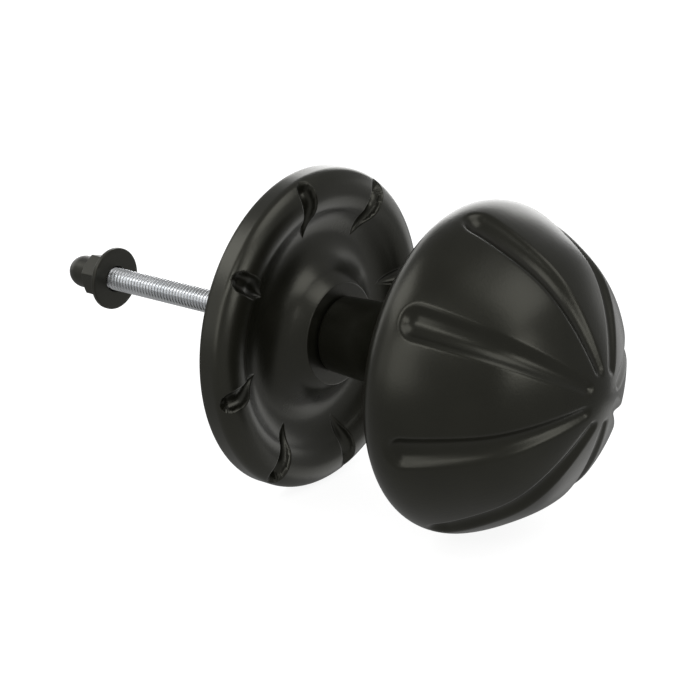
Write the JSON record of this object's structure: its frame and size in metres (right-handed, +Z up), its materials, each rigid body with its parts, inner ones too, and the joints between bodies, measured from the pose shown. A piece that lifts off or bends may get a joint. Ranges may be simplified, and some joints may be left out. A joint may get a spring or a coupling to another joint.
{
  "type": "centre door knob",
  "caption": "Fluted centre door knob on a moulded round rose, with a long threaded through stud, washer and domed cap nut.",
  "frame": {"origin": "centre of the rose's back face, where it meets the door", "axes": "+X out of the door along the stud to the knob's nose, +Z up, +Y to complete a right-handed frame"},
  "size_m": [0.161, 0.0776, 0.0776],
  "materials": {
    "black_casting": "satin black powder coat on a casting",
    "black_fastener": "satin black coated steel",
    "zinc_steel": "bright zinc plated thread"
  },
  "bodies": {
    "rose": {"rose": "black_casting"},
    "knob": {"knob": "black_casting", "stud": "zinc_steel"},
    "washer": {"washer": "black_fastener"},
    "cap_nut": {"cap_nut": "black_fastener"}
  },
  "joints": [
    {"name": "knob_slide", "type": "slide", "parent": "rose", "child": "knob", "axis": [1, 0, 0], "range_m": [0, 0.058]},
    {"name": "washer_slide", "type": "slide", "parent": "knob", "child": "washer", "axis": [1, 0, 0], "range_m": [-0.005, 0.004]},
    {"name": "nut_spin", "type": "hinge", "parent": "washer", "child": "cap_nut", "pos_m": [-0.067, 0, 0], "axis": [1, 0, 0], "range_deg": [-1800, 1440]}
  ],
  "couplings": [
    {"joint": "washer_slide", "follows": "nut_spin", "m_per_rad": 0.00015915}
  ]
}
